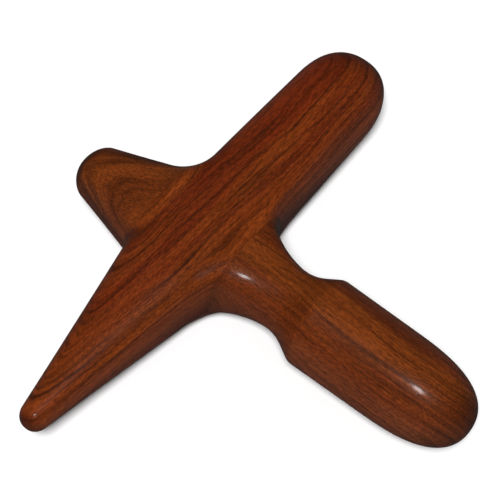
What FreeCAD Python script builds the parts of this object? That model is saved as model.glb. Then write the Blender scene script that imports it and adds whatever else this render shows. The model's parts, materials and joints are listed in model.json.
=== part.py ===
import FreeCAD, Part
import math
import os
import Sketcher
from FreeCAD import Placement, Rotation, Vector

# A hand-held wooden massage cross, glued up from a bar, a turned grip, a stub
# and a hidden dowel. Millimetres. +X runs along the bar to its thick end, +Y to
# the stub, +Z up. The origin is on the flat underside, below the crossing.

doc = FreeCAD.newDocument("massage_cross")

# ---- driving dimensions ---------------------------------------------------
sheet = doc.addObject("Spreadsheet::Sheet", "dims")
DIMENSIONS = [
    ("bar_height", "27.6"),
    ("root_edge_round", "7"),
    ("thick_edge_round", "8.2"),
    ("point_mid_at", "47"),
    ("point_mid_half", "9.25"),
    ("point_mid_round", "7.4"),
    ("thick_reach", "85"),
    ("point_reach", "80"),
    ("arm_root_at", "20"),
    ("arm_root_half", "13.8"),
    ("thick_end_half", "13.2"),
    ("thick_dome", "16.8"),
    ("point_root_at", "18"),
    ("point_root_half", "14.4"),
    ("tip_radius", "4.6"),
    ("tip_dome", "4.5"),
    ("seam_half", "15.5"),
    ("hub_corner_half", "12.6"),
    ("foot_flare_half", "21.2"),
    ("foot_corner_shift", "0.4"),
    ("stub_flare_half", "20.2"),
    ("stub_corner_shift", "0.9"),
    ("neck_at", "33"),
    ("neck_radius", "10.25"),
    ("neck_hollow", "9"),
    ("foot_sweep", "22"),
    ("foot_ramp", "77"),
    ("flare_round", "10.5"),
    ("flare_height_half", "13.4"),
    ("cone_angle", "26"),
    ("shoulder_radius", "14.75"),
    ("shoulder_round", "0.7"),
    ("barrel_end_radius", "14.35"),
    ("grip_reach", "100"),
    ("grip_flank_bend", "26"),
    ("grip_end_bend", "11"),
    ("stub_base_half", "16.7"),
    ("stub_base_height_half", "12.8"),
    ("stub_mid_half", "12.8"),
    ("stub_mid_height_half", "10.9"),
    ("stub_mid_at", "28"),
    ("stub_end_half", "9.3"),
    ("stub_end_at", "40"),
    ("stub_dome", "6.6"),
    ("stub_lean", "0.027"),
    ("underside_shave", "0.05"),
    ("point_sway", "0.6"),
    ("dowel_radius", "6"),
    ("dowel_in_grip", "40"),
    ("dowel_in_stub", "36"),
    ("dowel_bevel", "1"),
    ("glue_gap", "0.1"),
    ("bore_spare", "1"),
]
DERIVED = [
    ("bar_half_height", "=(bar_height + underside_shave) / 2"),
    ("bar_middle", "=(bar_height - underside_shave) / 2"),
    ("grip_axis", "=shoulder_radius"),
    ("loft_inset", "=glue_gap / 2"),
    ("foot_length", "=neck_at - seam_half"),
    ("foot_half", "=neck_radius + foot_sweep - sqrt(foot_sweep^2 - foot_length^2)"),
    ("foot_height_half", "=neck_radius + foot_ramp - sqrt(foot_ramp^2 - foot_length^2)"),
]
for row, (alias, value) in enumerate(DIMENSIONS + DERIVED, start=1):
    sheet.set("A%d" % row, alias)
    sheet.set("B%d" % row, value)
    sheet.setAlias("B%d" % row, alias)
doc.recompute()


# ---- helpers --------------------------------------------------------------
def origin_plane(body, role):
    for feature in body.Origin.OriginFeatures:
        if feature.Role == role:
            return feature
    raise RuntimeError("no origin plane " + role)


def new_body(label):
    body = doc.addObject("PartDesign::Body", label)
    body.Label = label
    return body


def section(body, name, role, station, half_wide, half_high, corner, height, shift="0"):
    """A rounded rectangle centred on an arm's axis, square to that axis."""
    sketch = body.newObject("Sketcher::SketchObject", name)
    sketch.AttachmentSupport = [(origin_plane(body, role), "")]
    sketch.MapMode = "FlatFace"
    wide = 10.0
    high = 8.0
    bend = 2.0
    flats = [
        ((-wide + bend, -high), (wide - bend, -high)),
        ((wide, -high + bend), (wide, high - bend)),
        ((wide - bend, high), (-wide + bend, high)),
        ((-wide, high - bend), (-wide, -high + bend)),
    ]
    centres = [(wide - bend, -high + bend), (wide - bend, high - bend),
               (-wide + bend, high - bend), (-wide + bend, -high + bend)]
    quarter = math.pi / 2
    for side in range(4):
        start, end = flats[side]
        sketch.addGeometry(Part.LineSegment(Vector(*start, 0), Vector(*end, 0)), False)
        circle = Part.Circle(Vector(*centres[side], 0), Vector(0, 0, 1), bend)
        first = (side - 1) * quarter
        sketch.addGeometry(Part.ArcOfCircle(circle, first, first + quarter), False)
    for side in range(4):
        line = 2 * side
        arc = line + 1
        following = (line + 2) % 8
        sketch.addConstraint(Sketcher.Constraint("Tangent", line, 2, arc, 1))
        sketch.addConstraint(Sketcher.Constraint("Tangent", arc, 2, following, 1))
    sketch.addConstraint(Sketcher.Constraint("Horizontal", 0))
    sketch.addConstraint(Sketcher.Constraint("Vertical", 2))
    sketch.addConstraint(Sketcher.Constraint("Horizontal", 4))
    sketch.addConstraint(Sketcher.Constraint("Vertical", 6))
    sketch.addConstraint(Sketcher.Constraint("Equal", 1, 3))
    sketch.addConstraint(Sketcher.Constraint("Equal", 3, 5))
    sketch.addConstraint(Sketcher.Constraint("Equal", 5, 7))
    sketch.addConstraint(Sketcher.Constraint("Symmetric", 1, 3, 5, 3, -1, 1))
    sizes = [
        ("DistanceX", (6, 1, 2, 1), 2 * wide, "wide", "2 * (%s)" % half_wide),
        ("DistanceY", (0, 1, 4, 1), 2 * high, "high", "2 * (%s)" % half_high),
        ("Radius", (1,), bend, "bend", corner),
    ]
    for kind, where, value, label, expression in sizes:
        index = sketch.addConstraint(Sketcher.Constraint(kind, *where, value))
        sketch.renameConstraint(index, label)
        sketch.setExpression("Constraints." + label, expression)
    sketch.setExpression(".AttachmentOffset.Base.x", shift)
    sketch.setExpression(".AttachmentOffset.Base.y", height)
    sketch.setExpression(".AttachmentOffset.Base.z", station)
    return sketch


def loft(body, name, sections, ruled):
    feature = body.newObject("PartDesign::AdditiveLoft", name)
    feature.Profile = sections[0]
    feature.Sections = sections[1:]
    feature.Ruled = ruled
    doc.recompute()
    return feature


def dome(body, name, first, role, side, start, reach, wide, high, corner, least, height, lean,
         shift="0"):
    """A rounded end: sections that shrink like a circle seen from the side."""
    sections = [first]
    steps = 5
    for step in range(1, steps + 1):
        share = step / steps
        angle = lean + share * (84.0 - lean)
        shrink = "cos(%g deg) / cos(%g deg)" % (angle, lean)
        advance = "(sin(%g deg) - sin(%g deg)) / (1 - sin(%g deg))" % (angle, lean, lean)
        station = "%s * (%s + %s * %s)" % (side, start, reach, advance)
        half_wide = "(%s) * %s" % (wide, shrink)
        half_high = "(%s) * %s" % (high, shrink)
        bend = "((%s) * %g + (%s) * %g) * %s" % (corner, 1 - share, least, share, shrink)
        sections.append(section(body, "%s_%d" % (name, step), role, station,
                                half_wide, half_high, bend, height, shift))
    return loft(body, name, sections, False)


def bore(body, name, station, depth, reverse, through):
    """A round blind or through bore along Y on the dowel's axis."""
    sketch = body.newObject("Sketcher::SketchObject", name + "_circle")
    sketch.AttachmentSupport = [(origin_plane(body, "XZ_Plane"), "")]
    sketch.MapMode = "FlatFace"
    sketch.addGeometry(Part.Circle(Vector(0, 0, 0), Vector(0, 0, 1), 6), False)
    sketch.addConstraint(Sketcher.Constraint("Coincident", 0, 3, -1, 1))
    index = sketch.addConstraint(Sketcher.Constraint("Radius", 0, 6.0))
    sketch.renameConstraint(index, "reach")
    sketch.setExpression("Constraints.reach", "dims.dowel_radius + dims.glue_gap")
    sketch.setExpression(".AttachmentOffset.Base.y", "dims.grip_axis")
    sketch.setExpression(".AttachmentOffset.Base.z", station)
    pocket = body.newObject("PartDesign::Pocket", name)
    pocket.Profile = sketch
    if through:
        pocket.Type = "ThroughAll"
        pocket.Midplane = True
    else:
        pocket.Type = "Length"
        pocket.Reversed = reverse
        pocket.setExpression("Length", depth)
    doc.recompute()
    return pocket


# ---- bar: thick rounded end, hub and tapered point, one length of wood -----
bar = new_body("bar")
MID = "dims.bar_middle"
HALF_HIGH = "dims.bar_half_height"
ROOT_ROUND = "dims.root_edge_round"
THICK_ROUND = "dims.thick_edge_round"
TIP_AT = "dims.point_reach - dims.tip_dome"
THICK_AT = "dims.thick_reach - dims.thick_dome"
TIP_ROUND = "dims.tip_radius - dims.loft_inset"

tip = section(bar, "tip", "YZ_Plane", "-(%s)" % TIP_AT, "dims.tip_radius",
              "dims.tip_radius", TIP_ROUND, MID)
point_mid = section(bar, "point_mid", "YZ_Plane", "-dims.point_mid_at", "dims.point_mid_half",
                    "dims.point_mid_half", "dims.point_mid_round", MID, "dims.point_sway")
point_root = section(bar, "point_root", "YZ_Plane", "-dims.point_root_at", "dims.point_root_half",
                     HALF_HIGH, ROOT_ROUND, MID, "dims.point_sway")
arm_root = section(bar, "arm_root", "YZ_Plane", "dims.arm_root_at", "dims.arm_root_half",
                   HALF_HIGH, ROOT_ROUND, MID)
thick_end = section(bar, "thick_end", "YZ_Plane", THICK_AT, "dims.thick_end_half",
                    HALF_HIGH, THICK_ROUND, MID)
loft(bar, "long_member", [tip, point_mid, point_root, arm_root, thick_end], True)
dome(bar, "thick_dome", thick_end, "YZ_Plane", "1", "(%s)" % THICK_AT, "dims.thick_dome",
     "dims.thick_end_half", HALF_HIGH, THICK_ROUND, "dims.thick_end_half - dims.loft_inset", MID, 2)
dome(bar, "tip_dome", tip, "YZ_Plane", "-1", "(%s)" % TIP_AT, "dims.tip_dome",
     "dims.tip_radius", "dims.tip_radius", TIP_ROUND, TIP_ROUND, MID, 9)

FLARE = "dims.flare_round"
FLARE_HIGH = "dims.flare_height_half"
foot_seam = section(bar, "foot_seam", "XZ_Plane", "dims.seam_half", "dims.foot_half",
                    "dims.foot_height_half", FLARE, MID)
foot_corner = section(bar, "foot_corner", "XZ_Plane", "dims.hub_corner_half", "dims.foot_flare_half",
                      FLARE_HIGH, FLARE, MID, "dims.foot_corner_shift")
stub_corner = section(bar, "stub_corner", "XZ_Plane", "-dims.hub_corner_half", "dims.stub_flare_half",
                      FLARE_HIGH, FLARE, MID, "dims.stub_corner_shift")
stub_seam = section(bar, "stub_seam", "XZ_Plane", "-dims.seam_half", "dims.stub_base_half",
                    "dims.stub_base_height_half", FLARE, MID, "-dims.stub_lean * dims.seam_half")
loft(bar, "hub", [foot_seam, foot_corner, stub_corner, stub_seam], True)

# The long member dips a hair below the origin plane and is planed flat there.
below = bar.newObject("Sketcher::SketchObject", "below_underside")
below.AttachmentSupport = [(origin_plane(bar, "XY_Plane"), "")]
below.MapMode = "FlatFace"
below.addGeometry(Part.Circle(Vector(0, 0, 0), Vector(0, 0, 1), 100), False)
below.addConstraint(Sketcher.Constraint("Coincident", 0, 3, -1, 1))
below.addConstraint(Sketcher.Constraint("Radius", 0, 100.0))
below.renameConstraint(1, "reach")
below.setExpression("Constraints.reach", "dims.thick_reach + dims.bar_height")
shave = bar.newObject("PartDesign::Pocket", "flat_underside")
shave.Profile = below
shave.Type = "ThroughAll"
doc.recompute()
bore(bar, "bar_bore", "0", "", False, True)

# ---- grip: square foot at the seam running into a turned neck and handle ---
grip = new_body("grip")
FOOT_STATIONS = [0, 0.17, 0.34, 0.52, 0.75, 1]
foot_sections = []
for index, share in enumerate(FOOT_STATIONS):
    back = "dims.foot_length * %g" % (1 - share)
    plan = "dims.neck_radius + dims.foot_sweep - sqrt(dims.foot_sweep^2 - (%s)^2)" % back
    ramp = "dims.neck_radius + dims.foot_ramp - sqrt(dims.foot_ramp^2 - (%s)^2)" % back
    bend = "%s + (dims.neck_radius - 2 * dims.loft_inset - %s) * %g" % (FLARE, FLARE, share)
    inset = " - dims.loft_inset * %g" % share
    rise = "%s + (dims.grip_axis - %s) * %g" % (MID, MID, share)
    foot_sections.append(section(
        grip, "foot_%d" % index, "XZ_Plane", "dims.neck_at - " + back,
        plan + inset, ramp + inset, bend, rise))
loft(grip, "foot", foot_sections, False)

profile = grip.newObject("Sketcher::SketchObject", "turned_profile")
profile.AttachmentSupport = [(origin_plane(grip, "XY_Plane"), "")]
profile.MapMode = "FlatFace"
profile.AttachmentOffset = Placement(Vector(0, 0, 0), Rotation(Vector(0, 0, 1), 180))
profile.setExpression(".AttachmentOffset.Base.z", "dims.grip_axis")
profile.addGeometry(Part.LineSegment(Vector(0, 33, 0), Vector(10.35, 33, 0)), False)
profile.addGeometry(Part.ArcOfCircle(
    Part.Circle(Vector(18.35, 33, 0), Vector(0, 0, 1), 8), 2.67, 3.1416), False)
profile.addGeometry(Part.LineSegment(Vector(11.2, 36.6, 0), Vector(14.4, 43, 0)), False)
profile.addGeometry(Part.ArcOfCircle(
    Part.Circle(Vector(13.95, 43.6, 0), Vector(0, 0, 1), 0.7), -0.47, 0.0), False)
profile.addGeometry(Part.LineSegment(Vector(14.65, 43.6, 0), Vector(14.2, 76, 0)), False)
profile.addGeometry(Part.ArcOfCircle(
    Part.Circle(Vector(-19.8, 76, 0), Vector(0, 0, 1), 34), 0.0, 0.63), False)
profile.addGeometry(Part.ArcOfCircle(
    Part.Circle(Vector(0, 90.5, 0), Vector(0, 0, 1), 9.5), 0.63, 1.5708), False)
profile.addGeometry(Part.LineSegment(Vector(0, 100, 0), Vector(0, 33, 0)), False)
CONSTRAINTS = [
    ("PointOnObject", (0, 1, -2)),
    ("Horizontal", (0,)),
    ("Coincident", (0, 2, 1, 2)),
    ("Tangent", (1, 1, 2, 1)),
    ("Tangent", (2, 2, 3, 1)),
    ("Tangent", (3, 2, 4, 1)),
    ("Tangent", (4, 2, 5, 1)),
    ("Tangent", (5, 2, 6, 1)),
    ("Coincident", (6, 2, 7, 1)),
    ("Coincident", (7, 2, 0, 1)),
    ("Vertical", (7,)),
    ("PointOnObject", (6, 3, -2)),
    ("Horizontal", (1, 3, 1, 2)),
]
for kind, where in CONSTRAINTS:
    profile.addConstraint(Sketcher.Constraint(kind, *where))
SIZES = [
    ("DistanceX", (-1, 1, 0, 2), 10.35, "neck", "dims.neck_radius"),
    ("DistanceY", (-1, 1, 0, 2), 33.0, "neck_at", "dims.neck_at"),
    ("Radius", (1,), 8.0, "hollow", "dims.neck_hollow"),
    ("Angle", (2, -2), 0.471, "cone", "dims.cone_angle * 1 deg"),
    ("Radius", (3,), 0.7, "lip", "dims.shoulder_round"),
    ("DistanceX", (-1, 1, 3, 2), 14.65, "shoulder", "dims.shoulder_radius"),
    ("DistanceX", (-1, 1, 4, 2), 14.2, "barrel", "dims.barrel_end_radius"),
    ("Radius", (5,), 34.0, "flank", "dims.grip_flank_bend"),
    ("Radius", (6,), 9.5, "end_bend", "dims.grip_end_bend"),
    ("DistanceY", (-1, 1, 6, 2), 100.0, "reach", "dims.grip_reach"),
]
for kind, where, value, label, expression in SIZES:
    index = profile.addConstraint(Sketcher.Constraint(kind, *where, value))
    profile.renameConstraint(index, label)
    profile.setExpression("Constraints." + label, expression)
turned = grip.newObject("PartDesign::Revolution", "turned_handle")
turned.Profile = profile
turned.ReferenceAxis = (profile, ["V_Axis"])
turned.Angle = 360
doc.recompute()
bore(grip, "grip_bore", "dims.seam_half",
     "dims.dowel_in_grip + dims.bore_spare - dims.seam_half", True, False)

# ---- stub: short tapered knob opposite the grip ----------------------------
stub = new_body("stub")
END_ROUND = "dims.stub_end_half - dims.loft_inset"
stub_sections = [
    section(stub, "stub_base", "XZ_Plane", "-dims.seam_half", "dims.stub_base_half",
            "dims.stub_base_height_half", FLARE, MID, "-dims.stub_lean * dims.seam_half"),
    section(stub, "stub_middle", "XZ_Plane", "-dims.stub_mid_at", "dims.stub_mid_half",
            "dims.stub_mid_height_half", "(%s + %s) / 2" % (FLARE, END_ROUND), MID,
            "-dims.stub_lean * dims.stub_mid_at"),
    section(stub, "stub_end", "XZ_Plane", "-dims.stub_end_at", "dims.stub_end_half",
            "dims.stub_end_half", END_ROUND, MID, "-dims.stub_lean * dims.stub_end_at"),
]
loft(stub, "stub_taper", stub_sections, False)
dome(stub, "stub_dome", stub_sections[-1], "XZ_Plane", "-1", "dims.stub_end_at", "dims.stub_dome",
     "dims.stub_end_half", "dims.stub_end_half", END_ROUND, END_ROUND, MID, 12,
     "-dims.stub_lean * dims.stub_end_at")
bore(stub, "stub_bore", "-dims.seam_half",
     "dims.dowel_in_stub + dims.bore_spare - dims.seam_half", False, False)

# ---- hidden dowel through the bar into the grip and the stub ---------------
dowel = new_body("cross_dowel")
outline = dowel.newObject("Sketcher::SketchObject", "dowel_circle")
outline.AttachmentSupport = [(origin_plane(dowel, "XZ_Plane"), "")]
outline.MapMode = "FlatFace"
outline.addGeometry(Part.Circle(Vector(0, 0, 0), Vector(0, 0, 1), 6), False)
outline.addConstraint(Sketcher.Constraint("Coincident", 0, 3, -1, 1))
outline.addConstraint(Sketcher.Constraint("Radius", 0, 6.0))
outline.renameConstraint(1, "reach")
outline.setExpression("Constraints.reach", "dims.dowel_radius")
outline.setExpression(".AttachmentOffset.Base.y", "dims.grip_axis")
outline.setExpression(".AttachmentOffset.Base.z", "-dims.dowel_in_stub")
rod = dowel.newObject("PartDesign::Pad", "rod")
rod.Profile = outline
rod.setExpression("Length", "dims.dowel_in_stub + dims.dowel_in_grip")
doc.recompute()
bevel = dowel.newObject("PartDesign::Chamfer", "bevels")
rims = []
for number, edge in enumerate(rod.Shape.Edges, start=1):
    if edge.isClosed():
        rims.append("Edge%d" % number)
bevel.Base = (rod, rims)
bevel.setExpression("Size", "dims.dowel_bevel")
doc.recompute()

# ---- checks and files ------------------------------------------------------
for item in doc.Objects:
    if "Invalid" in item.State or "Error" in item.State:
        raise RuntimeError("feature failed: " + item.Name)
os.makedirs("parts", exist_ok=True)
for piece in (bar, grip, stub, dowel):
    if piece.Shape.isNull() or not piece.Shape.isValid():
        raise RuntimeError("bad shape: " + piece.Label)
    if len(piece.Shape.Solids) != 1:
        raise RuntimeError("not one solid: " + piece.Label)
    piece.Shape.exportStep("parts/%s.step" % piece.Label)
    print(piece.Label, round(piece.Shape.Volume, 1), piece.Shape.BoundBox)
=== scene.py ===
import json
import math

import bmesh
import bpy
import numpy as np
from mathutils import Matrix, Vector

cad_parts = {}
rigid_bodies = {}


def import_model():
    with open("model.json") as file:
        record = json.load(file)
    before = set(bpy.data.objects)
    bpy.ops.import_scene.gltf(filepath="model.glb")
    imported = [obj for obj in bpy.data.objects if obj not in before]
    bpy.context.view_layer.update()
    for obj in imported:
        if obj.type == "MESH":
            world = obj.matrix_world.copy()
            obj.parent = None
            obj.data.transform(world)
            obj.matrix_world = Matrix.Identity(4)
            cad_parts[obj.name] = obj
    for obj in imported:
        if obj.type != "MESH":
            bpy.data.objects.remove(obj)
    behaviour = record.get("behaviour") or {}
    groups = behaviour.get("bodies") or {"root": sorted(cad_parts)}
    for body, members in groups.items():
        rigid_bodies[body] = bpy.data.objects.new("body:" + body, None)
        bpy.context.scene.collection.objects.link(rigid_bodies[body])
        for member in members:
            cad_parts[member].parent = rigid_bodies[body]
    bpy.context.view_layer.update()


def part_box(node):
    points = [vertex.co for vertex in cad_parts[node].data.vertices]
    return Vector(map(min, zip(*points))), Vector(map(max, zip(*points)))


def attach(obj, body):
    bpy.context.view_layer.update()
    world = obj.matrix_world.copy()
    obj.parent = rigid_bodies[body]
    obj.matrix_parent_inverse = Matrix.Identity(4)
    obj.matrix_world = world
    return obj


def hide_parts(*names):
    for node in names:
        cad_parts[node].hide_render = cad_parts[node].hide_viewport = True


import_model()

# A hand-held massage cross in oiled rosewood: a bar with a thick rounded end and
# a narrow point, a turned grip and a short stub. Shapes are worked out in
# millimetres in the frame's own axes (+X thick end, +Y stub, +Z up) and scaled
# to metres when the meshes are made.
MM = 0.001


# ---- sizes, from the frame --------------------------------------------------
def box_mm(node):
    low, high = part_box(node)
    return np.array(low) / MM, np.array(high) / MM


bar_low, bar_high = box_mm("bar")
grip_low, grip_high = box_mm("grip")
stub_low, stub_high = box_mm("stub")
dowel_low, dowel_high = box_mm("cross_dowel")

SEAM = bar_high[1]
MID_HEIGHT = bar_high[2] / 2
THICK_REACH = bar_high[0]
POINT_REACH = -bar_low[0]
THICK_DOME = 0.234 * THICK_REACH
TIP_DOME = 0.0525 * POINT_REACH
TIP_RADIUS = 0.0488 * POINT_REACH

SHOULDER_RADIUS = 1.008 * (grip_high[2] - grip_low[2]) / 2
GRIP_AXIS = SHOULDER_RADIUS
GRIP_REACH = -grip_low[1]
GRIP_DOME = 0.297 * GRIP_REACH
NECK_AT = 2.045 * SEAM
NECK_RADIUS = 0.697 * SHOULDER_RADIUS
SHOULDER_AT = 0.444 * GRIP_REACH
CONE_SLOPE = math.tan(math.radians(29.2))
BARREL_SLOPE = -0.012
SWEEP_THICK_SIDE = 24.0
SWEEP_POINT_SIDE = 31.5
FOOT_RAMP = 56.0

STUB_REACH = stub_high[1]
STUB_DOME = 5.5
STUB_LEAN = 0.034

BORE_RADIUS = (dowel_high[0] - dowel_low[0]) / 2 + 0.1
BORE_SPARE = 1.0


# ---- shape fields: negative inside, about millimetres near the surface ---------
def smooth_min(first, second, reach):
    share = np.clip(0.5 + 0.5 * (second - first) / reach, 0, 1)
    return second * (1 - share) + first * share - reach * share * (1 - share)


def smooth_max(first, second, reach):
    return -smooth_min(-first, -second, reach)


def smooth_step(low, high, value):
    share = np.clip((value - low) / (high - low), 0, 1)
    return share * share * (3 - 2 * share)


def soft_line(value, stations, sizes, soft=4.0):
    """Straight runs between stations, with the bends eased over a few millimetres."""
    offsets = np.linspace(-soft, soft, 7)
    return sum(np.interp(value + offset, stations, sizes) for offset in offsets) / len(offsets)


def gauge(across, up, half_wide, half_high, power):
    """One on a rounded section's outline, nought at its centre."""
    wide = np.abs(across / half_wide) ** power
    high = np.abs(up / half_high) ** power
    return (wide + high) ** (1 / power)


def domed(section, run_out, round_power, run_power):
    """Closes a section gauge with a round end; run_out goes from 0 to 1 along it."""
    return (section ** round_power + np.clip(run_out, 0, None) ** run_power) ** (1 / round_power)


def bar_field(x, y, z):
    # tip, middle and root of the point, far side of the hub, thick arm, thick end
    stations = [-POINT_REACH, -47, -17.5, 20, 0.8 * THICK_REACH, THICK_REACH]
    half_wide = soft_line(x, stations, [TIP_RADIUS, 9.55, 14.5, 14.7, 14.5, 15.0])
    half_high = soft_line(x, stations, [TIP_RADIUS, 9.3] + 3 * [MID_HEIGHT] + [MID_HEIGHT - 0.3])
    power = soft_line(x, stations, [2.1, 2.7, 3.4, 3.4, 2.3, 2.3])
    sway = soft_line(x, stations, [0, 0.5, 0.9, 0, 0.3, 0.3])
    section = gauge(y - sway, z - MID_HEIGHT, half_wide, half_high, power)
    thick_run = (x - THICK_REACH + THICK_DOME) / THICK_DOME
    tip_run = (-x - POINT_REACH + TIP_DOME) / TIP_DOME
    closed = domed(section, np.maximum(thick_run, tip_run), 2.2, 2.2)
    return (closed - 1) * np.minimum(half_wide, half_high)


def turned_radius(along):
    cone = SHOULDER_RADIUS + (along - SHOULDER_AT) * CONE_SLOPE
    barrel = SHOULDER_RADIUS + (along - SHOULDER_AT) * BARREL_SLOPE
    return smooth_min(smooth_max(cone, NECK_RADIUS, 1.8), barrel, 0.5)


def grip_field(x, y, z):
    along = -y
    side = smooth_step(-6, 6, x)
    sweep = SWEEP_POINT_SIDE + (SWEEP_THICK_SIDE - SWEEP_POINT_SIDE) * side
    back = np.clip(NECK_AT - along, 0, 0.93 * SWEEP_THICK_SIDE)
    flare = sweep - np.sqrt(sweep ** 2 - back ** 2)
    climb = np.minimum(back, NECK_AT - SEAM)
    rise = FOOT_RAMP - np.sqrt(FOOT_RAMP ** 2 - climb ** 2)
    radius = turned_radius(along)
    footing = np.clip(back / (NECK_AT - SEAM), 0, 1)
    centre = GRIP_AXIS + (MID_HEIGHT - GRIP_AXIS) * footing
    section = gauge(x, z - centre, radius + flare, radius + rise, 2 + (0.9 + 1.3 * side) * footing)
    run = (along - GRIP_REACH + GRIP_DOME) / GRIP_DOME
    closed = domed(section, run, 2.37, 2.83)
    steep = np.sqrt(1 + back ** 2 / (sweep ** 2 - back ** 2))
    return np.maximum((closed - 1) * radius / steep, SEAM / 3 - along)


def stub_field(x, y, z):
    # seam, middle and far end of the stub
    stations = [SEAM, 28, STUB_REACH]
    half_wide = soft_line(y, stations, [16.0, 12.5, 7.45])
    half_high = soft_line(y, stations, [13.0, 11.0, 7.45])
    power = soft_line(y, stations, [2.9, 2.5, 2.1])
    section = gauge(x + STUB_LEAN * y, z - MID_HEIGHT, half_wide, half_high, power)
    run = (y - STUB_REACH + STUB_DOME) / STUB_DOME
    closed = domed(section, run, 2, 2)
    return np.maximum((closed - 1) * half_high, SEAM / 3 - y)


def cross_field(points):
    x, y, z = points[..., 0], points[..., 1], points[..., 2]
    outside = smooth_step(0.5 * SEAM, 0.9 * SEAM, np.abs(y))
    side = smooth_step(-8, 8, x)
    shape = smooth_min(bar_field(x, y, z), grip_field(x, y, z), 0.05 + (4.5 - 0.7 * side) * outside)
    shape = smooth_min(shape, stub_field(x, y, z), 0.05 + (3.0 + 4.0 * side) * outside)
    return np.maximum(shape, -z)


# ---- surface of the whole shaped blank ------------------------------------------
def gradient(field, points, reach=0.02):
    slopes = []
    for axis in range(3):
        step = np.zeros(3)
        step[axis] = reach
        slopes.append((field(points + step) - field(points - step)) / (2 * reach))
    return np.stack(slopes, axis=-1)


def onto_surface(field, points, rounds):
    for _ in range(rounds):
        slope = gradient(field, points)
        size = np.maximum((slope ** 2).sum(axis=-1), 1e-6)
        move = slope * (field(points) / size)[:, None]
        length = np.sqrt((move ** 2).sum(axis=-1))
        points = points - move * np.minimum(1, 0.5 / np.maximum(length, 1e-9))[:, None]
    return points


def surface_net(field, low, high, step):
    """Vertices and outward quads on the field's zero surface."""
    axes = [np.arange(low[a], high[a] + step, step) for a in range(3)]
    values = np.stack([
        field(np.stack(np.meshgrid([x], axes[1], axes[2], indexing="ij"), axis=-1))[0]
        for x in axes[0]])
    inside = values < 0
    cells = tuple(length - 1 for length in inside.shape)
    count = np.zeros(cells, np.int8)
    for corner in np.ndindex(2, 2, 2):
        count += inside[tuple(slice(c, c + n) for c, n in zip(corner, cells))]
    where = np.argwhere((count > 0) & (count < 8))
    number = np.full(cells, -1)
    number[tuple(where.T)] = np.arange(len(where))
    total = np.zeros((len(where), 3))
    crossings = np.zeros(len(where))
    for axis in range(3):
        along = np.eye(3, dtype=int)[axis]
        for corner in np.ndindex(2, 2, 2):
            if corner[axis]:
                continue
            start = where + corner
            first = values[tuple(start.T)]
            second = values[tuple((start + along).T)]
            crossed = (first < 0) != (second < 0)
            share = np.where(crossed, first / np.where(crossed, first - second, 1), 0)
            total += np.where(crossed[:, None], start + share[:, None] * along, 0)
            crossings += crossed
    points = np.array(low) + step * total / crossings[:, None]
    quads = []
    for axis in range(3):
        along = np.eye(3, dtype=int)[axis]
        side_a = np.eye(3, dtype=int)[(axis + 1) % 3]
        side_b = np.eye(3, dtype=int)[(axis + 2) % 3]
        ends = np.take(inside, range(1, inside.shape[axis]), axis)
        starts = np.take(inside, range(inside.shape[axis] - 1), axis)
        for leaving in (True, False):
            edges = np.argwhere((starts == leaving) & (ends != leaving))
            around = [edges - side_a - side_b, edges - side_b, edges, edges - side_a]
            ring = np.stack([number[tuple(cell.T)] for cell in around], axis=1)
            quads.append(ring if leaving else ring[:, ::-1])
    return points, np.concatenate(quads)


def relax(field, points, quads, rounds):
    """Evens out the net along the surface."""
    edges = np.concatenate([quads[:, [0, 1]], quads[:, [1, 2]], quads[:, [2, 3]], quads[:, [3, 0]]])
    for _ in range(rounds):
        middle = np.zeros_like(points)
        for axis in range(3):
            middle[:, axis] = np.bincount(edges[:, 0], points[edges[:, 1], axis], len(points))
            middle[:, axis] += np.bincount(edges[:, 1], points[edges[:, 0], axis], len(points))
        degree = np.bincount(edges.ravel(), minlength=len(points))
        points = onto_surface(field, 0.4 * points + 0.6 * middle / degree[:, None], 2)
    return points


def shaped_blank(step):
    margin = 2 * step
    low = np.array([-POINT_REACH, -GRIP_REACH, 0]) - margin
    high = np.array([THICK_REACH, STUB_REACH, GRIP_AXIS + SHOULDER_RADIUS]) + margin
    points, quads = surface_net(cross_field, low, high, step)
    points = onto_surface(cross_field, points, 4)
    points = relax(cross_field, points, quads, 3)
    # vertices nearest the shoulder move onto it, so that its edge runs true
    near = np.abs(points[:, 1] + SHOULDER_AT) < 0.5 * step
    near &= np.abs(points[:, 0]) < 1.2 * SHOULDER_RADIUS
    points[near, 1] = -SHOULDER_AT
    return onto_surface(cross_field, points, 2), quads


# ---- pieces, sawn from the blank at the glue seams --------------------------------
def saw(shape, place, outward):
    """Cuts at a plane square to Y, keeps the side away from outward and returns the open rim."""
    geometry = shape.verts[:] + shape.edges[:] + shape.faces[:]
    bmesh.ops.bisect_plane(shape, geom=geometry, plane_co=(0, place * MM, 0),
                           plane_no=(0, outward, 0), clear_outer=True, dist=1e-7)
    rim = [edge for edge in shape.edges if edge.is_boundary and
           all(abs(vertex.co.y - place * MM) < 1e-6 for vertex in edge.verts)]
    return rim


def bored_cap(shape, rim, place):
    """Closes a sawn end around the mouth of the dowel's bore."""
    sides = 48
    circle = []
    for side in range(sides):
        turn = 2 * math.pi * side / sides
        circle.append(shape.verts.new((
            BORE_RADIUS * math.cos(turn) * MM, place * MM,
            (GRIP_AXIS + BORE_RADIUS * math.sin(turn)) * MM)))
    ring = [shape.edges.new((circle[side - 1], circle[side])) for side in range(sides)]
    bmesh.ops.triangle_fill(shape, use_beauty=True, use_dissolve=False, edges=rim + ring)
    return circle


def bore_wall(shape, first, last):
    for side in range(len(first)):
        shape.faces.new((first[side - 1], first[side], last[side], last[side - 1]))


def blind_bore(shape, mouth, place, depth):
    deep = [shape.verts.new((v.co.x, (place + depth) * MM, v.co.z)) for v in mouth]
    bore_wall(shape, mouth, deep)
    shape.faces.new(deep)


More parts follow.
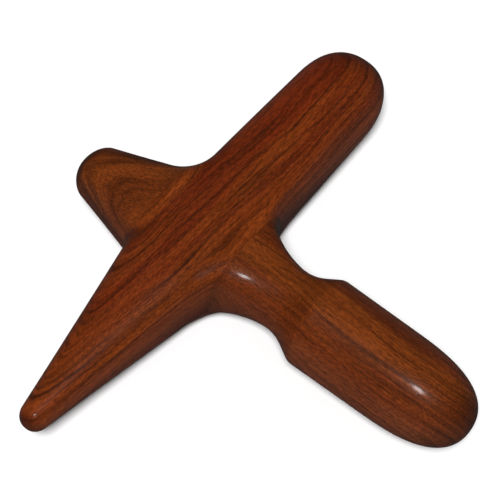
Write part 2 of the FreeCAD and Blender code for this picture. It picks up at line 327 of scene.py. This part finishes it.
def piece(name, points, quads, cuts, bore_depth):
    mesh = bpy.data.meshes.new(name)
    mesh.from_pydata((points * MM).tolist(), [], quads.tolist())
    shape = bmesh.new()
    shape.from_mesh(mesh)
    mouths = []
    for place, outward in cuts:
        rim = saw(shape, place, outward)
        mouths.append(bored_cap(shape, rim, place))
    if len(mouths) == 2:
        bore_wall(shape, mouths[0], mouths[1])
    else:
        blind_bore(shape, mouths[0], cuts[0][0], bore_depth)
    bmesh.ops.recalc_face_normals(shape, faces=shape.faces)
    shape.to_mesh(mesh)
    shape.free()
    mesh.shade_smooth()
    mesh.set_sharp_from_angle(angle=math.radians(50))
    obj = bpy.data.objects.new(name, mesh)
    bpy.context.scene.collection.objects.link(obj)
    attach(obj, "root")
    return obj


blank_points, blank_quads = shaped_blank(0.7)
grip_depth = dowel_low[1] - BORE_SPARE + SEAM
stub_depth = dowel_high[1] + BORE_SPARE - SEAM
bar = piece("bar_shaped", blank_points, blank_quads, [(-SEAM, -1), (SEAM, 1)], 0)
grip = piece("grip_turned", blank_points, blank_quads, [(-SEAM, 1)], grip_depth)
stub = piece("stub_knob", blank_points, blank_quads, [(SEAM, -1)], stub_depth)
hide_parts("bar")
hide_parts("grip")
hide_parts("stub")


# ---- materials ----------------------------------------------------------------
def add(tree, kind, inputs=None, **settings):
    """A node with its settings made and its inputs set or linked."""
    made = tree.nodes.new(kind)
    for name, value in settings.items():
        setattr(made, name, value)
    for name, value in (inputs or {}).items():
        if isinstance(value, bpy.types.NodeSocket):
            tree.links.new(value, made.inputs[name])
        else:
            made.inputs[name].default_value = value
    return made


def worked(tree, operation, first, second=0.0):
    return add(tree, "ShaderNodeMath", {0: first, 1: second}, operation=operation).outputs[0]


def plus(tree, first, second):
    return worked(tree, "ADD", first, second)


def minus(tree, first, second):
    return worked(tree, "SUBTRACT", first, second)


def times(tree, first, second):
    return worked(tree, "MULTIPLY", first, second)


def size_of(tree, value):
    return worked(tree, "ABSOLUTE", value)


def vector_of(tree, x, y, z):
    return add(tree, "ShaderNodeCombineXYZ", {"X": x, "Y": y, "Z": z}).outputs[0]


def noise(tree, vector, detail, rough=0.5):
    inputs = {"Vector": vector, "Scale": 1.0, "Detail": detail, "Roughness": rough}
    return add(tree, "ShaderNodeTexNoise", inputs).outputs["Fac"]


def eased(tree, value, low, high, start=0.0, end=1.0):
    limits = {"Value": value, "From Min": low, "From Max": high, "To Min": start, "To Max": end}
    return add(tree, "ShaderNodeMapRange", limits, interpolation_type="SMOOTHSTEP").outputs[0]


def mixed(tree, share, first, second, blend="MIX"):
    inputs = {0: share, 6: first, 7: second}
    return add(tree, "ShaderNodeMix", inputs, data_type="RGBA", blend_type=blend).outputs[2]


def grain_axes(tree, grain, tilt):
    """Object place in millimetres as along, across and above the grain."""
    place = add(tree, "ShaderNodeTexCoord").outputs["Object"]
    scaled = add(tree, "ShaderNodeVectorMath", {0: place, 3: 1 / MM}, operation="SCALE").outputs[0]
    parts = add(tree, "ShaderNodeSeparateXYZ", {0: scaled}).outputs
    along, across = (parts["X"], parts["Y"]) if grain == "X" else (parts["Y"], parts["X"])
    leaning = plus(tree, across, times(tree, along, tilt))
    return along, leaning, parts["Z"], parts["Y"]


def wood(name, grain, pith, tilt, seed, tones, streak_rate, contrast, end=0, dark_ring=None):
    """Oiled hardwood: growth layers round a pith beside the piece, streaks and open pores."""
    material = bpy.data.materials.new(name)
    material.use_nodes = True
    tree = material.node_tree
    shader = tree.nodes["Principled BSDF"]
    along, across, above, seam_place = grain_axes(tree, grain, tilt)

    def stretched(along_rate, across_rate, shift, detail, rough=0.5):
        """Noise drawn out along the grain."""
        vector = vector_of(tree, times(tree, along, along_rate), times(tree, across, across_rate),
                           times(tree, plus(tree, above, seed + shift), across_rate))
        return noise(tree, vector, detail, rough)

    wander = times(tree, minus(tree, stretched(0.013, 0.045, 0.0, 2.0), 0.5), 6.0)
    ripple = times(tree, minus(tree, stretched(0.06, 0.25, 5.0, 2.0), 0.5), 1.4)
    side = minus(tree, across, pith[0])
    over = minus(tree, above, pith[1])
    from_pith = worked(tree, "SQRT", plus(tree, times(tree, side, side), times(tree, over, over)))
    layer = plus(tree, plus(tree, from_pith, wander), ripple)

    def layered(layer_rate, along_rate, shift, detail, rough):
        """Noise that follows the growth layers."""
        vector = vector_of(tree, times(tree, along, along_rate), times(tree, layer, layer_rate),
                           plus(tree, times(tree, side, 0.03), seed + shift))
        return noise(tree, vector, detail, rough)

    bands = layered(0.16, 0.008, 0.0, 2.0, 0.5)
    streaks = layered(streak_rate, 0.014, 11.0, 3.0, 0.6)
    lines = layered(2.2 * streak_rate, 0.02, 37.0, 2.0, 0.5)
    threads = layered(2.0, 0.05, 23.0, 4.0, 0.65)
    flecks = stretched(0.6, 3.0, 61.0, 2.0)

    pore_place = vector_of(tree, times(tree, along, 0.28), times(tree, across, 1.9),
                           times(tree, above, 1.9))
    cells = add(tree, "ShaderNodeTexVoronoi", {"Vector": pore_place, "Scale": 1.0}).outputs
    pick = add(tree, "ShaderNodeSeparateColor", {0: cells["Color"]}).outputs[0]
    pore = times(tree, eased(tree, cells["Distance"], 0.12, 0.4, 1.0, 0.0), eased(tree, pick, 0.1, 0.8))

    light, deep, dark = tones
    if grain == "Y":
        contrast = eased(tree, size_of(tree, along), SEAM, 2 * SEAM, 0.4 * contrast, contrast)
    colour = mixed(tree, eased(tree, bands, 0.38, 0.62), (*light, 1), (*deep, 1))
    for pattern, low in ((streaks, 0.48), (lines, 0.54)):
        share = times(tree, eased(tree, pattern, low, 0.66, 0.0, 0.68), contrast)
        colour = mixed(tree, share, colour, (*dark, 1))
    if dark_ring:
        apart = size_of(tree, minus(tree, layer, dark_ring[0]))
        ring = times(tree, eased(tree, apart, 0.2 * dark_ring[1], dark_ring[1], 0.75, 0.0),
                     eased(tree, threads, 0.3, 0.6, 0.6, 1.0))
        colour = mixed(tree, ring, colour, (*dark, 1))
    geometry = add(tree, "ShaderNodeNewGeometry").outputs
    # Faces along the grain are darkened. This is end-grain colour. Where end makes it one-sided (grip
    # and stub), only the outer end darkens, and that one-sidedness is painted shade.
    facing = add(tree, "ShaderNodeSeparateXYZ", {0: geometry["Normal"]}).outputs[grain]
    facing = times(tree, facing, end) if end else size_of(tree, facing)
    thread_shade = eased(tree, threads, 0.3, 0.7, 0.74, 1.26)
    fleck_shade = eased(tree, flecks, 0.3, 0.7, 0.66, 1.34)
    end_grain_and_painted_shade = eased(tree, facing, 0.1, 0.85, 1.0, 0.52)
    fine = times(tree, times(tree, thread_shade, fleck_shade), end_grain_and_painted_shade)
    colour = mixed(tree, 1.0, colour, vector_of(tree, fine, fine, fine), "MULTIPLY")
    colour = mixed(tree, times(tree, pore, 0.5), colour, (*(0.5 * t for t in dark), 1))

    worn = eased(tree, geometry["Pointiness"], 0.52, 0.6)
    rubbed = tuple(min(1.0, 1.4 * t) for t in light)
    colour = mixed(tree, times(tree, worn, 0.3), colour, (*rubbed, 1))

    off_seam = size_of(tree, minus(tree, size_of(tree, seam_place), SEAM))
    glue = times(tree, eased(tree, off_seam, 0.05, 0.35, 0.5, 0.0), eased(tree, bands, 0.3, 0.6))
    colour = mixed(tree, glue, colour, (*(0.4 * t for t in dark), 1))
    tree.links.new(colour, shader.inputs["Base Color"])

    hand = stretched(0.05, 0.12, 83.0, 3.0)
    gloss = plus(tree, eased(tree, hand, 0.3, 0.7, 0.34, 0.44), times(tree, pore, 0.3))
    tree.links.new(gloss, shader.inputs["Roughness"])
    shader.inputs["Specular IOR Level"].default_value = 0.3
    shader.inputs["Coat Weight"].default_value = 0.5
    shader.inputs["Coat Roughness"].default_value = 0.14
    relief = minus(tree, plus(tree, times(tree, threads, 0.4), hand), pore)
    bump = add(tree, "ShaderNodeBump", {"Height": relief, "Strength": 0.7, "Distance": 0.07 * MM})
    tree.links.new(bump.outputs[0], shader.inputs["Normal"])
    return material


BAR_TONES = ((0.156, 0.0290, 0.0036), (0.115, 0.0150, 0.0024), (0.043, 0.0088, 0.0020))
ARM_TONES = ((0.154, 0.0325, 0.0044), (0.116, 0.0210, 0.0032), (0.048, 0.0105, 0.0024))
DOWEL_TONES = ((0.55, 0.38, 0.22), (0.48, 0.31, 0.17), (0.32, 0.19, 0.10))

bar_wood = wood("bar_rosewood", "X", (-34.0, -26.0), 0.02, 3.0, BAR_TONES, 0.6, 1.0)
# grip and stub: end picks the one outer end that is darkened, end-grain colour plus painted shade
grip_wood = wood("grip_rosewood", "Y", (-46.0, 4.0), -0.03, 41.0, ARM_TONES, 0.5, 0.75, end=-1)
stub_wood = wood("stub_rosewood", "Y", (16.0, -38.0), 0.02, 77.0, ARM_TONES, 0.34, 0.8, end=1,
                 dark_ring=(60.4, 1.8))
dowel_wood = wood("dowel_beech", "Y", (40.0, 10.0), 0.01, 5.0, DOWEL_TONES, 0.6, 0.4)
bar.data.materials.append(bar_wood)
grip.data.materials.append(grip_wood)
stub.data.materials.append(stub_wood)
for node_object in bpy.data.objects:
    if node_object.type == "MESH" and node_object.name.startswith("cross_dowel"):
        node_object.data.materials.clear()
        node_object.data.materials.append(dowel_wood)


# ---- floor, camera and light --------------------------------------------------------
def floor_paint():
    material = bpy.data.materials.new("floor_paint")
    material.use_nodes = True
    tree = material.node_tree
    place = add(tree, "ShaderNodeTexCoord").outputs["Object"]
    inputs = {"Vector": place, "Scale": 40.0, "Detail": 3.0}
    speck = add(tree, "ShaderNodeTexNoise", inputs).outputs["Fac"]
    shade = eased(tree, speck, 0.3, 0.7, 0.88, 0.9)
    # for glossy rays the floor is painted at 0.045 of its brightness: a painted dim reflection of the
    # floor in the lacquer
    mirrored = add(tree, "ShaderNodeLightPath").outputs["Is Glossy Ray"]
    shade = times(tree, shade, eased(tree, mirrored, 0.0, 1.0, 1.0, 0.045))
    shader = tree.nodes["Principled BSDF"]
    tree.links.new(vector_of(tree, shade, shade, shade), shader.inputs["Base Color"])
    shader.inputs["Roughness"].default_value = 0.8
    shader.inputs["Specular IOR Level"].default_value = 0.0
    return material


floor_mesh = bpy.data.meshes.new("floor")
floor_mesh.from_pydata([(-3, -3, 0), (3, -3, 0), (3, 3, 0), (-3, 3, 0)], [], [(0, 1, 2, 3)])
floor = bpy.data.objects.new("floor", floor_mesh)
floor.location.z = -0.1 * MM
bpy.context.scene.collection.objects.link(floor)
floor_mesh.materials.append(floor_paint())


def toward(azimuth, elevation):
    """Unit vector from the object, azimuth counted from +X towards +Y."""
    turn, lift = math.radians(azimuth), math.radians(elevation)
    return Vector((math.cos(turn) * math.cos(lift), math.sin(turn) * math.cos(lift), math.sin(lift)))


def sun(name, azimuth, elevation, strength, spread):
    data = bpy.data.lights.new(name, "SUN")
    data.energy = strength
    data.angle = math.radians(spread)
    lamp = bpy.data.objects.new(name, data)
    lamp.rotation_euler = toward(azimuth, elevation).to_track_quat("Z", "Y").to_euler()
    bpy.context.scene.collection.objects.link(lamp)
    return lamp


main_light = sun("main_light", -152, 66, 3.6, 17)
main_light.visible_glossy = False
sheen_light = sun("sheen_light", -156, 72, 0.4, 8)
sheen_light.visible_diffuse = False

CAMERA_AZIMUTH = 216.4
CAMERA_ELEVATION = 59.906
CAMERA_ROLL = -2.686
CAMERA_DISTANCE = 511.22
CAMERA_AIM = Vector((7.0, -13.2, MID_HEIGHT))

back = toward(CAMERA_AZIMUTH, CAMERA_ELEVATION)
camera_data = bpy.data.cameras.new("camera")
camera_data.lens = 120.44
camera_data.sensor_width = 36
camera = bpy.data.objects.new("camera", camera_data)
facing_aim = back.to_track_quat("Z", "Y").to_matrix().to_4x4()
rolled = Matrix.Rotation(math.radians(-CAMERA_ROLL), 4, "Z")
place = Matrix.Translation((CAMERA_AIM + back * CAMERA_DISTANCE) * MM)
camera.matrix_world = place @ facing_aim @ rolled
bpy.context.scene.collection.objects.link(camera)
bpy.context.scene.camera = camera

world = bpy.data.worlds.new("world")
world.use_nodes = True
sky = world.node_tree
path = add(sky, "ShaderNodeLightPath")
fill = times(sky, path.outputs["Is Diffuse Ray"], 0.15)
mirrored_sky = times(sky, path.outputs["Is Glossy Ray"], 0.01)
strength = plus(sky, plus(sky, path.outputs["Is Camera Ray"], fill), mirrored_sky)
sky.links.new(strength, sky.nodes["Background"].inputs["Strength"])
sky.nodes["Background"].inputs["Color"].default_value = (1, 1, 1, 1)
bpy.context.scene.world = world
bpy.context.scene.view_settings.view_transform = "Standard"
